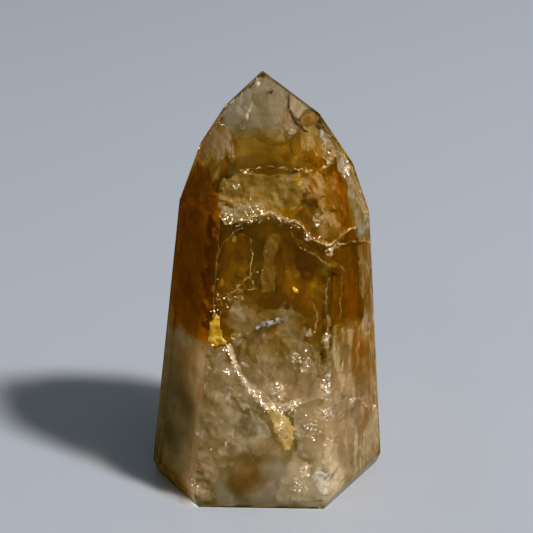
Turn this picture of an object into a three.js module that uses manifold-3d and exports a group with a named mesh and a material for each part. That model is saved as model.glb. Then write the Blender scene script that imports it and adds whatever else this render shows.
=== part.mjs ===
// A polished golden healer quartz point: one piece of crystal that stands on its sawn base.
// It is cut the way a lapidary cuts it. A sawn block is ground against a flat lap once for each
// facet: six tall sides that lean in, six tip facets, and a narrow bevel round the foot.
// Millimetres and degrees, +Z up, the front side towards -Y, the origin on the base's middle.

import * as THREE from "three";
import { mergeVertices } from "three/addons/utils/BufferGeometryUtils.js";
import Module from "manifold-3d";

// Driving dimensions of the sawn block.
const TOWER_HEIGHT = 105;
const BLOCK_WIDTH = 76;
const BLOCK_DEPTH = 76;

// The bevel round the foot keeps the bottom edge from chipping.
const FOOT_BEVEL_HEIGHT = 3;
const FOOT_BEVEL_INSET = 1.2;

// The six sides, going round from the front towards +X. "bearing" is the way the facet looks, from
// the front, "lean" is how far it tips back from upright, and "reach" is its distance from the axis
// at the base.
const SIDES = {
  front: { bearing: -1.5, lean: 5, reach: 22.4 },
  frontRight: { bearing: 56.5, lean: 2.8, reach: 24.5 },
  backRight: { bearing: 118, lean: 4.3, reach: 25.4 },
  back: { bearing: 180, lean: 5, reach: 22.8 },
  backLeft: { bearing: 237.5, lean: 4.5, reach: 22.7 },
  frontLeft: { bearing: 302.5, lean: 6.8, reach: 26.6 },
};

// The six facets of the tip, in the same order. Each is "shoulder" above the base where it is
// SHOULDER_REACH from the axis, so a lower shoulder brings that facet further down its side. As on
// a crystal as it grew, three of them are large and two of them, at the back, are small.
const SHOULDER_REACH = 20;
const TIP_FACETS = {
  front: { bearing: -1.5, lean: 31.5, shoulder: 77.4 },
  frontRight: { bearing: 59.5, lean: 31.2, shoulder: 72.9 },
  backRight: { bearing: 119.5, lean: 28.8, shoulder: 78.6 },
  back: { bearing: 177, lean: 31.6, shoulder: 67.6 },
  backLeft: { bearing: 240, lean: 30.2, shoulder: 78 },
  frontLeft: { bearing: 289, lean: 28.6, shoulder: 72.2 },
};

// A grinding slab is larger than the block every way, so one slab makes one whole facet.
const SLAB_SIZE = 300;

const QUARTZ = new THREE.MeshStandardMaterial({
  name: "quartz",
  color: new THREE.Color().setRGB(0.62, 0.47, 0.24, THREE.SRGBColorSpace),
  roughness: 0.08,
  metalness: 0,
});

const wasm = await Module();
wasm.setup();

function toSolid(geometry) {
  const bare = geometry.clone();
  bare.deleteAttribute("normal");
  bare.deleteAttribute("uv");
  const merged = mergeVertices(bare);
  return new wasm.Manifold(
    new wasm.Mesh({
      numProp: 3,
      vertProperties: merged.attributes.position.array,
      triVerts: new Uint32Array(merged.index.array),
    }),
  );
}

function toGeometry(solid) {
  const mesh = solid.getMesh();
  const geometry = new THREE.BufferGeometry();
  geometry.setAttribute("position", new THREE.BufferAttribute(mesh.vertProperties, 3));
  geometry.setIndex(new THREE.BufferAttribute(mesh.triVerts, 1));
  geometry.computeVertexNormals();
  return geometry;
}

// The sawn block stands on its base with its middle on the axis.
function sawnBlock() {
  const block = new THREE.BoxGeometry(BLOCK_WIDTH, BLOCK_DEPTH, TOWER_HEIGHT);
  block.translate(0, 0, TOWER_HEIGHT / 2);
  return toSolid(block);
}

// The waste that one facet grinds away: everything outside the facet's plane. The plane looks along
// "bearing", is tipped back by "lean", and lies "reach" from the axis at the height "level".
function wasteOutside({ bearing, lean, reach, level }) {
  const slab = new THREE.BoxGeometry(SLAB_SIZE, SLAB_SIZE, SLAB_SIZE);
  slab.translate(0, -SLAB_SIZE / 2, 0);
  slab.rotateX(THREE.MathUtils.degToRad(-lean));
  slab.translate(0, -reach, level);
  slab.rotateZ(THREE.MathUtils.degToRad(bearing));
  return toSolid(slab);
}

function sideCut(side) {
  return { ...side, level: 0 };
}

function tipCut(facet) {
  return { ...facet, reach: SHOULDER_REACH, level: facet.shoulder };
}

// The foot bevel runs from FOOT_BEVEL_INSET inside the side's foot up to the side itself.
function footCut(side) {
  const sideSlope = Math.tan(THREE.MathUtils.degToRad(side.lean));
  const widening = FOOT_BEVEL_INSET - FOOT_BEVEL_HEIGHT * sideSlope;
  return {
    bearing: side.bearing,
    lean: -THREE.MathUtils.radToDeg(Math.atan2(widening, FOOT_BEVEL_HEIGHT)),
    reach: side.reach - FOOT_BEVEL_INSET,
    level: 0,
  };
}

function cutTower() {
  const sides = Object.values(SIDES);
  const cuts = [...sides.map(sideCut), ...Object.values(TIP_FACETS).map(tipCut), ...sides.map(footCut)];
  return cuts.reduce((stone, cut) => stone.subtract(wasteOutside(cut)), sawnBlock());
}

const quartzPoint = new THREE.Mesh(toGeometry(cutTower()), QUARTZ);
quartzPoint.name = "quartz_point";

const group = new THREE.Group();
group.add(quartzPoint);

export default group;
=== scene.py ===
"""Golden healer quartz tower: polished skin, clouds and stains, healed fractures and glints sealed inside."""

import math
import random

import bmesh
import bpy
from bpy.props import FloatProperty, FloatVectorProperty, IntProperty, PointerProperty
from mathutils import Euler, Matrix, Vector, noise


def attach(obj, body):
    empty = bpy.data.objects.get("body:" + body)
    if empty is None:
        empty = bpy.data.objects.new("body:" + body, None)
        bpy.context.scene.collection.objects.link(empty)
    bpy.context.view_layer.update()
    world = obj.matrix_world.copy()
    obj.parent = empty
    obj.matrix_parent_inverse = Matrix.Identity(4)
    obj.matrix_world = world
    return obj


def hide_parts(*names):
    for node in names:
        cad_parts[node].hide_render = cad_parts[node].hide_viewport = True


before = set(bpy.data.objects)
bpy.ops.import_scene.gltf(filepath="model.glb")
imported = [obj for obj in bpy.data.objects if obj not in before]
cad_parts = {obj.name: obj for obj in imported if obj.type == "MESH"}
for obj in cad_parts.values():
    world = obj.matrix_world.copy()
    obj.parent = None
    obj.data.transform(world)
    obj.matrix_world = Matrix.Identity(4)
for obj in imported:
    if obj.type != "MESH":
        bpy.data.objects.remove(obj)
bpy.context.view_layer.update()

bl_info = {
    "name": "Golden Healer Quartz",
    "version": (1, 0, 0),
    "blender": (4, 5, 0),
    "location": "3D View > Sidebar > Quartz",
    "description": "Builds a polished quartz tower with its clouds, stains, fractures and glints",
    "category": "Add Mesh",
}

MM = 0.001
BODY = "root"
CAD_NODE = "quartz_point"
QUARTZ_IOR = 1.544
WHITE = (1.0, 1.0, 1.0, 1.0)

# Where the eye stands, in metres and degrees, as a helper script fitted it to the tower's edges.
EYE_TARGET = Vector((-0.24, 0.0, 54.86)) * MM
EYE_DISTANCE = 365.8 * MM
EYE_ELEVATION = math.radians(25.1)
EYE_ANGLE = math.radians(19.81)
EYE = EYE_TARGET + Vector((0.0, -math.cos(EYE_ELEVATION), math.sin(EYE_ELEVATION))) * EYE_DISTANCE

# The way to the key light, from the right and a little in front, and how far off it stands.
KEY_WAY = Euler((0.0, math.radians(-51), math.radians(-29))).to_matrix() @ Vector((1.0, 0.0, 0.0))
KEY_DISTANCE = 3.2
KEY_WIDTH = 0.37

# The brown cards that only reflections see, a painted warm brown reflection in the tower's side faces: name,
# place across in mm, and feathered rise in metres.
CARDS = (("left_flag", -122.0, 0.001), ("right_flag", 60.0, 0.026))
CARD_SIZE = (0.10, 0.15, 1.0, 1.0)

# How far under the facets, in mm, a film and a chip keep, how near the skin counts as on it, and the
# longest push back inside.
SEAL = 0.35
CHIP_SEAL = 0.6
ON_SKIN = 0.05
LONGEST_PUSH = 0.8
# A film's thickness, the gap its own skin keeps to the facets, its least depth and its waves, in mm.
FILM_THICKNESS = 0.1
SKIN_GAP = 0.12
SHALLOWEST = 0.5
FILM_WAVE = 0.6
# A facet whose face looks further to the left than this lies in the shade of the key lamp.
LEFT_FACING = -0.4


# ---------------------------------------------------------------- the quartz body


def merged_copy(node_name):
    """A bmesh of a CAD node with its loose triangles joined into flat facets."""
    body = bmesh.new()
    body.from_mesh(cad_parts[node_name].data)
    bmesh.ops.remove_doubles(body, verts=body.verts, dist=0.02 * MM)
    bmesh.ops.dissolve_limit(body, angle_limit=math.radians(1), verts=body.verts, edges=body.edges)
    bmesh.ops.remove_doubles(body, verts=body.verts, dist=0.2 * MM)
    return body


def facet_planes():
    """The flat facets of the tower, each as a point on it and the way it faces."""
    body = merged_copy(CAD_NODE)
    body.normal_update()
    planes = [(face.calc_center_median(), face.normal.copy()) for face in body.faces]
    body.free()
    return planes


FACETS = facet_planes()


def held_inside(point, margin):
    """The point, pushed in until it lies margin metres under every facet."""
    held = point.copy()
    for _ in range(40):
        most = 0.0
        for centre, facing in FACETS:
            over = facing.dot(held - centre) + margin
            if over > 0.0:
                held -= facing * over
                most = max(most, over)
        if most < 0.001 * MM:
            break
    return held


def turned_facets(side):
    """The facets as they stand after the tower is turned side degrees, so that another face is in front."""
    turn = Matrix.Rotation(math.radians(-side), 3, "Z")
    return [(turn @ centre, turn @ facing) for centre, facing in FACETS]


SIDES = {side: turned_facets(side) for side in (0, 75, 130, 180, 235, 290)}


def refracted(look, facing):
    """The way that light runs on inside the quartz after it meets a facet."""
    ratio = 1.0 / QUARTZ_IOR
    straight = -facing.dot(look)
    bent = math.sqrt(1.0 - ratio * ratio * (1.0 - straight * straight))
    return look * ratio + facing * (ratio * straight - bent)


def skin_at(across, height, side=0):
    """The point of the skin at this place in millimetres, seen from a side, and the way its facet faces."""
    across *= MM
    height *= MM
    skin = None
    for centre, facing in SIDES[side]:
        if facing.y > -0.05:
            continue
        run = facing.x * (across - centre.x) + facing.z * (height - centre.z)
        depth = centre.y - run / facing.y
        if skin is None or depth > skin[0]:
            skin = (depth, facing)
    return Vector((across, skin[0], height)), skin[1]


def sealed(across, height, depth, margin=SEAL, side=0):
    """The point seen behind a place on the skin, depth mm into the quartz, and the way light runs to it.

    The point is None past the stone's outline. Seen from any side but the front, it is None too where
    the front view already shows the facet."""
    skin, facing = skin_at(across, height, side)
    way = refracted((skin - EYE).normalized(), facing)
    turn = Matrix.Rotation(math.radians(side), 3, "Z")
    skin, wanted = turn @ skin, turn @ (skin + way * depth * MM)
    shown = side and (turn @ facing).dot(EYE - skin) > 0.0
    if shown or (held_inside(skin, 0.0) - skin).length > ON_SKIN * MM:
        return None, None
    spot = held_inside(wanted, margin * MM)
    if (spot - wanted).length > LONGEST_PUSH * MM:
        spot = None
    return spot, turn @ way


# ---------------------------------------------------------------- small helpers


def as_object(name, body, material, smooth=False):
    """An object made from a bmesh, in one material."""
    mesh = bpy.data.meshes.new(name)
    body.normal_update()
    body.to_mesh(mesh)
    body.free()
    for face in mesh.polygons:
        face.use_smooth = smooth
    mesh.materials.append(material)
    made = bpy.data.objects.new(name, mesh)
    bpy.context.collection.objects.link(made)
    return made


def put(name, body, material, smooth=True, shades=True):
    """Turns a bmesh into a piece that rides on the tower's body. A thin pale film casts no shade."""
    piece = as_object(name, body, material, smooth)
    piece.visible_shadow = shades
    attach(piece, BODY)
    return piece


def smooth_step(low, high, value):
    """0 below low, 1 above high and an even curve between."""
    share = min(1.0, max(0.0, (value - low) / (high - low)))
    return share * share * (3.0 - 2.0 * share)


def along(line, across):
    """The height of a line of (across, height) points at one place across."""
    if across <= line[0][0]:
        return line[0][1]
    for (x0, z0), (x1, z1) in zip(line, line[1:]):
        if across <= x1:
            return z0 + (z1 - z0) * smooth_step(x0, x1, across)
    return line[-1][1]


def on_line(line, share):
    """The point at this share of the way along an open line, 0 to 1."""
    spans = [(Vector(b) - Vector(a)).length for a, b in zip(line, line[1:])]
    left = share * sum(spans)
    for (a, b), span in zip(zip(line, line[1:]), spans):
        if left <= span:
            return Vector(a).lerp(Vector(b), left / span)
        left -= span
    return Vector(line[-1])


def rough(point, size, seed, octaves=4):
    """Fractal roughness, about -1 to 1, with features of the given size in metres."""
    shift = Vector((seed * 7.13, seed * 3.71, seed * 5.39))
    return noise.fractal(point / size + shift, 0.7, 2.1, octaves)


# ---------------------------------------------------------------- shader helpers


def new_material(name):
    """A material with an empty node tree but for its shader and output."""
    material = bpy.data.materials.new(name)
    material.use_nodes = True
    tree = material.node_tree
    return material, tree, tree.nodes["Principled BSDF"], tree.nodes["Material Output"]


def feed(tree, socket, value):
    """Links a socket to another one, or sets its plain value."""
    if isinstance(value, bpy.types.NodeSocket):
        tree.links.new(value, socket)
    else:
        socket.default_value = value


def fill(tree, node, **values):
    """Sets a node's sockets and plain settings by name, with spaces as underscores."""
    for key, value in values.items():
        socket = node.inputs.get(key.replace("_", " "))
        if socket is None:
            setattr(node, key, value)
        else:
            feed(tree, socket, value)
    return node


def add(tree, kind, **values):
    """A new node with its sockets and settings filled."""
    return fill(tree, tree.nodes.new(kind), **values)


def object_place(tree):
    """The place on the piece, in its own coordinates."""
    return tree.nodes.new("ShaderNodeTexCoord").outputs["Object"]


def mapped_range(tree, value, low, high, to_low=0.0, to_high=1.0, curve="SMOOTHSTEP"):
    """A Map Range of a value, which stays inside its ends."""
    made = add(tree, "ShaderNodeMapRange", interpolation_type=curve, Value=value, From_Min=low, From_Max=high,
               To_Min=to_low, To_Max=to_high)
    return made.outputs["Result"]


def maths(tree, operation, first, second):
    """A Math node on two sockets or numbers."""
    made = add(tree, "ShaderNodeMath", operation=operation)
    for socket, value in zip(made.inputs, (first, second)):
        feed(tree, socket, value)
    return made.outputs[0]


def blended(tree, share, first, second):
    """A mix of two colours."""
    blend = add(tree, "ShaderNodeMix", data_type="RGBA")
    for socket, value in ((0, share), (6, first), (7, second)):
        feed(tree, blend.inputs[socket], value)
    return blend.outputs[2]


def ramp(tree, value, stops):
    """A colour ramp with the given (place, colour) stops."""
    made = add(tree, "ShaderNodeValToRGB", Fac=value)
    for element, (place, colour) in zip(made.color_ramp.elements, stops):
        element.position = place
        element.color = (*colour, 1.0)
    return made.outputs["Color"]


def mixed_surface(tree, out, share, first, second):
    """Puts a mix of two shaders on the surface."""
    mixed = add(tree, "ShaderNodeMixShader", Fac=share)
    tree.links.new(first.outputs[0], mixed.inputs[1])
    tree.links.new(second.outputs[0], mixed.inputs[2])
    tree.links.new(mixed.outputs[0], out.inputs["Surface"])


def new_group(name, inputs, outputs):
    """An empty shader node group with float sockets and a Vector, and its inner ends."""
    group = bpy.data.node_groups.new(name, "ShaderNodeTree")
    group.interface.new_socket("Vector", in_out="INPUT", socket_type="NodeSocketVector")
    for label, value in inputs:
        group.interface.new_socket(label, in_out="INPUT", socket_type="NodeSocketFloat").default_value = value
    for label in outputs:
        group.interface.new_socket(label, in_out="OUTPUT", socket_type="NodeSocketFloat")
    given = group.nodes.new("NodeGroupInput").outputs
    result = group.nodes.new("NodeGroupOutput").inputs
    return group, given, result


def patches_of(group, value, coverage):
    """Patches of a noise value that spread as the coverage rises from 0 to 1."""
    threshold = maths(group, "SUBTRACT", 1.0, coverage)
    rise = maths(group, "MULTIPLY", maths(group, "SUBTRACT", value, threshold), 6.0)
    return mapped_range(group, maths(group, "ADD", rise, 0.5), 0.0, 1.0)


def frost_group():
    """Shader group of a healed fracture: patches of fine crackle and frosty specks."""
    name = "Frost Pattern"
    if name in bpy.data.node_groups:
        return bpy.data.node_groups[name]
    inputs = (("Scale", 400.0), ("Patch Scale", 120.0), ("Coverage", 0.5), ("Crackle", 0.5))
    group, given, result = new_group(name, inputs, ("Mask", "Height", "Tone"))
    patches = add(group, "ShaderNodeTexNoise", Vector=given["Vector"], Scale=given["Patch Scale"], Detail=3.0,
                  Roughness=0.62).outputs["Fac"]
    frost = add(group, "ShaderNodeTexNoise", Vector=given["Vector"],
                Scale=maths(group, "MULTIPLY", given["Scale"], 2.2), Detail=2.0, Roughness=0.7).outputs["Fac"]
    cells = add(group, "ShaderNodeTexVoronoi", Vector=given["Vector"], Scale=given["Scale"])
    cracks = mapped_range(group, cells.outputs["Distance"], 0.45, 0.75)
    cracks = maths(group, "MULTIPLY", cracks, given["Crackle"])
    specks = mapped_range(group, frost, 0.44, 0.66)
    body = maths(group, "MAXIMUM", cracks, specks)
    mask = maths(group, "MULTIPLY", patches_of(group, patches, given["Coverage"]), body)
    group.links.new(mask, result["Mask"])
    group.links.new(maths(group, "ADD", cells.outputs["Distance"], frost), result["Height"])
    group.links.new(patches, result["Tone"])
    return group


def wisp_group():
    """Shader group of a thin veil: soft patches drawn out into streaks."""
    name = "Wisp Pattern"
    if name in bpy.data.node_groups:
        return bpy.data.node_groups[name]
    inputs = (("Scale", 300.0), ("Patch Scale", 120.0), ("Coverage", 0.5))
    group, given, result = new_group(name, inputs, ("Mask", "Height", "Tone"))
    streaks = add(group, "ShaderNodeTexNoise", Vector=given["Vector"], Scale=given["Scale"], Detail=3.0,
                  Roughness=0.65).outputs["Fac"]
    patches = add(group, "ShaderNodeTexNoise", Vector=given["Vector"], Scale=given["Patch Scale"],
                  Detail=1.0).outputs["Fac"]
    lines = mapped_range(group, streaks, 0.36, 0.66)
    mask = maths(group, "MULTIPLY", patches_of(group, patches, given["Coverage"]), lines)
    group.links.new(mask, result["Mask"])
    group.links.new(streaks, result["Height"])
    group.links.new(streaks, result["Tone"])
    return group


def see_through(tree, shader, out, lamp_share):
    """Lets lamps shine through a clear skin, so that what is sealed inside is lit."""
    path = tree.nodes.new("ShaderNodeLightPath")
    open_way = add(tree, "ShaderNodeBsdfTransparent", Color=(*lamp_share, 1.0))
    mixed_surface(tree, out, path.outputs["Is Shadow Ray"], shader, open_way)


def polished_quartz(looks):
    """Clear polished quartz: faint buffing waves, hairline scratches and a honey tint with depth."""
    material, tree, shader, out = new_material("polished_quartz")
    place = object_place(tree)
    smears = add(tree, "ShaderNodeTexNoise", Vector=place, Scale=70.0, Detail=5.0, Roughness=0.65)
    gloss = mapped_range(tree, smears.outputs["Fac"], 0.35, 0.75, looks.polish, looks.polish + 0.05)
    waves = add(tree, "ShaderNodeTexNoise", Vector=place, Scale=90.0, Detail=2.0)
    turned = add(tree, "ShaderNodeMapping", Vector=place, Rotation=(0.5, 0.9, 0.3), Scale=(1.0, 40.0, 1.0))
    scratches = add(tree, "ShaderNodeTexNoise", Vector=turned.outputs["Vector"], Scale=130.0, Detail=2.0)
    lines = mapped_range(tree, scratches.outputs["Fac"], 0.60, 0.80, 0.0, -0.04)
    relief = maths(tree, "ADD", waves.outputs["Fac"], lines)
    bump = add(tree, "ShaderNodeBump", Height=relief, Strength=0.05, Distance=0.0004)
    fill(tree, shader, Base_Color=WHITE, IOR=QUARTZ_IOR, Transmission_Weight=1.0, Roughness=gloss,
         Specular_Tint=(1.0, 0.8, 0.45, 1.0), Normal=bump.outputs["Normal"])
    tint = add(tree, "ShaderNodeVolumeAbsorption", Color=(*looks.tint, 1.0), Density=looks.tint_density)
    tree.links.new(tint.outputs["Volume"], out.inputs["Volume"])
    see_through(tree, shader, out, (0.93, 0.91, 0.88))
    return material


def cloud_material(name, centre, reach, tones, density, scale, cover, stains):
    """A cloud sealed in the quartz: wisps that fade out towards its rim, with stains in their own colours."""
    material, tree, shader, out = new_material(name)
    fill(tree, shader, Base_Color=WHITE, IOR=1.0, Roughness=0.0, Transmission_Weight=1.0)
    see_through(tree, shader, out, (1.0, 1.0, 1.0))
    place = object_place(tree)
    wisps = add(tree, "ShaderNodeTexNoise", Vector=place, Scale=scale, Detail=3.0, Roughness=0.6)
    drift = add(tree, "ShaderNodeTexNoise", Vector=place, Scale=scale * 0.8, Detail=2.0)
    wander = maths(tree, "MULTIPLY", maths(tree, "SUBTRACT", drift.outputs["Fac"], 0.5), 1.6)

    def distance_from(spot, size, drifting=1.0):
        local = add(tree, "ShaderNodeMapping", vector_type="TEXTURE", Vector=place,
                    Location=Vector(spot) * MM, Scale=Vector(size) * MM)
        length = add(tree, "ShaderNodeVectorMath", operation="LENGTH")
        tree.links.new(local.outputs["Vector"], length.inputs[0])
        return maths(tree, "ADD", length.outputs["Value"], maths(tree, "MULTIPLY", wander, drifting))

    colour = ramp(tree, drift.outputs["Fac"], ((0.40, tones[0]), (0.60, tones[1])))
    thick = mapped_range(tree, wisps.outputs["Fac"], *cover, *density)
    uneven = mapped_range(tree, wisps.outputs["Fac"], 0.35, 0.65, 0.45, 1.5, "LINEAR")
    for spot, size, tone, extra in stains:
        share = mapped_range(tree, distance_from(spot, size), 0.72, 1.12, 1.0, 0.0)
        colour = blended(tree, share, colour, (*tone, 1.0))
        gain = maths(tree, "MULTIPLY", maths(tree, "MULTIPLY", share, extra), uneven)
        thick = maths(tree, "ADD", thick, gain)
    fade = mapped_range(tree, distance_from(centre, reach, 0.35), 0.50, 0.72, 1.0, 0.0)
    material.cycles.volume_sampling = "DISTANCE"
    thickness = maths(tree, "MULTIPLY", maths(tree, "MAXIMUM", thick, 0.0), fade)
    smoke = add(tree, "ShaderNodeVolumePrincipled", Anisotropy=0.25, Density=thickness, Color=colour)
    tree.links.new(smoke.outputs["Volume"], out.inputs["Volume"])
    return material


def own_tones(tree, share):
    """The colour between a piece's two tones, which its attributes hold."""
    tones = [add(tree, "ShaderNodeAttribute", attribute_name=label).outputs["Color"] for label in TONE_LABELS]
    return blended(tree, mapped_range(tree, share, 0.42, 0.60), *tones)


def veil_material(name, colours, metal, gloss, scale, patch_scale, coverage, crackle, stretch=(1.0, 1.0, 1.0),
                  strength=0.6, solid=1.0, even=0.0, glow=0.0, shine=0.5):
    """A thin film on a fracture, broken into patches, streaks and specks, that thins out to its rim.

    Without colours of its own it takes its two tones and its least cover from the piece's attributes.
    Glow is how much light it lets through from behind, and shine how strongly its skin reflects."""
    material, tree, shader, out = new_material(name)
    drawn = add(tree, "ShaderNodeMapping", Vector=object_place(tree), Scale=stretch)
    pattern = tree.nodes.new("ShaderNodeGroup")
    pattern.node_tree = wisp_group() if crackle is None else frost_group()
    fill(tree, pattern, Vector=drawn.outputs["Vector"], Scale=scale, Patch_Scale=patch_scale,
         Coverage=coverage)
    if crackle is not None:
        fill(tree, pattern, Crackle=crackle)
    if colours is None:
        colour = own_tones(tree, pattern.outputs["Tone"])
        even = add(tree, "ShaderNodeAttribute", attribute_name="even").outputs["Fac"]
    else:
        colour = ramp(tree, pattern.outputs["Tone"], ((0.38, colours[0]), (0.62, colours[1])))
    rim = add(tree, "ShaderNodeAttribute", attribute_name="fade")
    thin = mapped_range(tree, rim.outputs["Fac"], 0.0, 0.55, 0.0, solid)
    mask = mapped_range(tree, pattern.outputs["Mask"], 0.0, 1.0, even, 1.0, "LINEAR")
    cover = maths(tree, "MULTIPLY", mask, thin)
    bump = add(tree, "ShaderNodeBump", Height=pattern.outputs["Height"], Strength=strength, Distance=0.0006)
    fill(tree, shader, Base_Color=colour, Metallic=metal, Roughness=gloss, Specular_IOR_Level=shine,
         Alpha=cover, Normal=bump.outputs["Normal"])
    if glow:
        lit = add(tree, "ShaderNodeBsdfTranslucent", Color=colour)
        mixed_surface(tree, out, maths(tree, "MULTIPLY", cover, glow), shader, lit)
    return material


def zone_material(kind, suffix, glow):
    """The film of one kind of zone, which takes its tones and cover from the attributes."""
    scale, patch_scale, stretch, crackle, relief, gloss, shine = KINDS[kind]
    return veil_material(f"{kind}_{suffix}", None, 0.0, gloss, scale, patch_scale, FILM_COVER,
                         crackle, stretch=stretch, strength=relief, solid=FILM_SOLID, glow=glow, shine=shine)


def flake_material(name, colour, metal, gloss):
    """A mirror-like chip of crystal that flashes when it faces the light."""
    material, tree, shader, _ = new_material(name)
    grain = add(tree, "ShaderNodeTexNoise", Vector=object_place(tree), Scale=900.0, Detail=1.0)
    pale = ramp(tree, grain.outputs["Fac"], ((0.35, colour), (0.7, (1.0, 0.97, 0.9))))
    fill(tree, shader, Base_Color=pale, Metallic=metal, Roughness=gloss)
    return material


# ---------------------------------------------------------------- sealed shapes


def lump(name, centre, reach, material, seed):
    """A rounded uneven cloud body, held a little under the skin, each at a depth of its own."""
    body = bmesh.new()
    bmesh.ops.create_icosphere(body, subdivisions=4, radius=1.0)
    centre = Vector(centre) * MM
    for vert in body.verts:
        swell = 1.0 + 0.22 * rough(vert.co, 0.6, seed)
        vert.co = centre + Vector(a * b * swell * MM for a, b in zip(vert.co, reach))
        vert.co = held_inside(vert.co, (0.45 + 0.13 * seed) * MM)
    return put(name, body, material, smooth=False)


def trimmed(body, margin):
    """Cuts a sheet off margin metres under every facet."""
    for centre, facing in FACETS:
        geometry = body.verts[:] + body.edges[:] + body.faces[:]
        bmesh.ops.bisect_plane(body, geom=geometry, dist=1e-6, plane_co=centre - facing * margin,
                               plane_no=facing, clear_outer=True)
    bmesh.ops.remove_doubles(body, verts=body.verts, dist=0.01 * MM)


def sheet(place, cells, thickness=FILM_THICKNESS):
    """A thin closed sheet.

    place(s, t), each from -1 to 1, gives a point and how far it is from the rim, 1 to 0."""
    body = bmesh.new()
    bmesh.ops.create_grid(body, x_segments=cells[0], y_segments=cells[1], size=1.0)
    fade = body.verts.layers.float.new("fade")
    stray = []
    for vert in body.verts:
        spot, vert[fade] = place(vert.co.x, vert.co.y)
        if spot is None:
            stray.append(vert)
        else:
            vert.co = spot
    bmesh.ops.delete(body, geom=stray, context="VERTS")
    trimmed(body, SEAL * MM)
    bmesh.ops.triangulate(body, faces=body.faces[:])
    bmesh.ops.dissolve_degenerate(body, dist=0.02 * MM, edges=body.edges[:])
    bmesh.ops.recalc_face_normals(body, faces=body.faces[:])
    bmesh.ops.solidify(body, geom=body.faces[:], thickness=thickness * MM)
    for vert in body.verts:
        vert.co = held_inside(vert.co, SKIN_GAP * MM)
    return body


def painted(body, tones, even):
    """The body with its two tones and its cover written into attributes."""
    for label, tone in zip(TONE_LABELS, tones):
        layer = body.verts.layers.float_vector.new(label)
        for vert in body.verts:
            vert[layer] = tone
    layer = body.verts.layers.float.new("even")
    for vert in body.verts:
        vert[layer] = even
    return body


def joined(bodies):
    """Several bmeshes as one."""
    whole = bmesh.new()
    for body in bodies:
        mesh = bpy.data.meshes.new("part")
        body.to_mesh(mesh)
        body.free()
        whole.from_mesh(mesh)
        bpy.data.meshes.remove(mesh)
    return whole


def ragged_disc(s, t, seed):
    """Moves a point of the square grid onto a disc with a ragged rim."""
    across = s * math.sqrt(max(0.0, 1.0 - t * t / 2.0))
    upwards = t * math.sqrt(max(0.0, 1.0 - s * s / 2.0))
    angle = math.atan2(upwards, across)
    rim = Vector((math.cos(angle), math.sin(angle), seed * 1.7))
    swell = 1.0 + 0.25 * noise.fractal(rim * 2.2, 0.6, 2.3, 5)
    return across * swell, upwards * swell


def patch(middle, half, depth, seed, cell=0.25):
    """A small ragged film seen at a place on the front skin, depth mm in."""

    def place(s, t):
        disc = Vector(ragged_disc(s, t, seed))
        flat = Vector((disc.x * half[0], disc.y * half[1]))
        spot = Vector((middle[0] + flat.x, middle[1] + flat.y, depth)) * MM
        waves = FILM_WAVE * rough(spot, 0.005, seed) + 0.25 * FILM_WAVE * rough(spot, 0.0012, seed + 5)
        rim = 1.0 - max(abs(s), abs(t)) ** 2
        return sealed(spot.x / MM, spot.y / MM, max(SHALLOWEST, depth + waves))[0], rim

    return sheet(place, [max(6, int(2.0 * size / cell)) for size in half])


def shifted(line, chance):
    """A line moved a little, and turned left for right half of the time."""
    across, up = chance.uniform(-4.0, 4.0), chance.uniform(-3.0, 3.0)
    mirror = chance.choice((-1.0, 1.0))
    return tuple((mirror * point[0] + across, point[1] + up) for point in line)


def inside_by(outline, across, height):
    """How far inside a closed outline a place is, in mm, or outside where it is negative."""
    spot = Vector((across, height))
    nearest = 1e9
    within = False
    for a, b in zip(outline, outline[1:] + outline[:1]):
        span = Vector(b) - Vector(a)
        share = min(1.0, max(0.0, (spot - Vector(a)).dot(span) / span.length_squared))
        nearest = min(nearest, (Vector(a) + span * share - spot).length)
        if (a[1] > height) != (b[1] > height) and across < a[0] + span.x * (height - a[1]) / span.y:
            within = not within
    return nearest if within else -nearest


def on_left(across, height, side):
    """Whether a place on the skin lies on the facets that face left, away from the key lamp."""
    return skin_at(across, height, side)[1].x < LEFT_FACING


def zone(outline, depth, seed, soft, ragged, side=0, cell=0.5):
    """A film that fills an outline on the skin and thins out over soft mm at its ragged rim.

    On the front it stops at the long edge beside the left facets, so that it lies behind one of them only."""
    low = [min(corner[k] for corner in outline) - 1.0 for k in (0, 1)]
    high = [max(corner[k] for corner in outline) + 1.0 for k in (0, 1)]
    centre = sum((Vector(corner) for corner in outline), Vector((0.0, 0.0))) / len(outline)
    left = on_left(*centre, side)

    def pulled_in(across, height):
        """The place across, moved by up to a cell onto the zone's own side of the edge, or None beyond it."""
        if side or on_left(across, height, side) == left:
            return across
        near, far = across, across + (-cell if left else cell)
        if on_left(far, height, side) != left:
            return None
        for _ in range(6):
            half = 0.5 * (near + far)
            near, far = (near, half) if on_left(half, height, side) == left else (half, far)
        return far

    def place(s, t):
        across, height = [low[k] + (high[k] - low[k]) * (0.5 + 0.5 * share) for k, share in enumerate((s, t))]
        across = pulled_in(across, height)
        if across is None:
            return None, 0.0
        spot = Vector((across, height, depth)) * MM
        fray = rough(spot, 0.0045, seed) + 0.4 * rough(spot, 0.0012, seed)
        inner = inside_by(outline, across, height) + ragged * fray
        if inner < 0.0:
            return None, 0.0
        waves = FILM_WAVE * rough(spot, 0.005, seed + 1) + 0.3 * FILM_WAVE * rough(spot, 0.0015, seed + 2)
        for share in (1.0, 0.5, 0.2):
            held = sealed(across, height, max(SHALLOWEST, (depth + waves) * share), side=side)[0]
            if held is not None:
                break
        return held, smooth_step(0.0, soft, inner)

    return sheet(place, [max(6, int((b - a) / cell)) for a, b in zip(low, high)])


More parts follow.
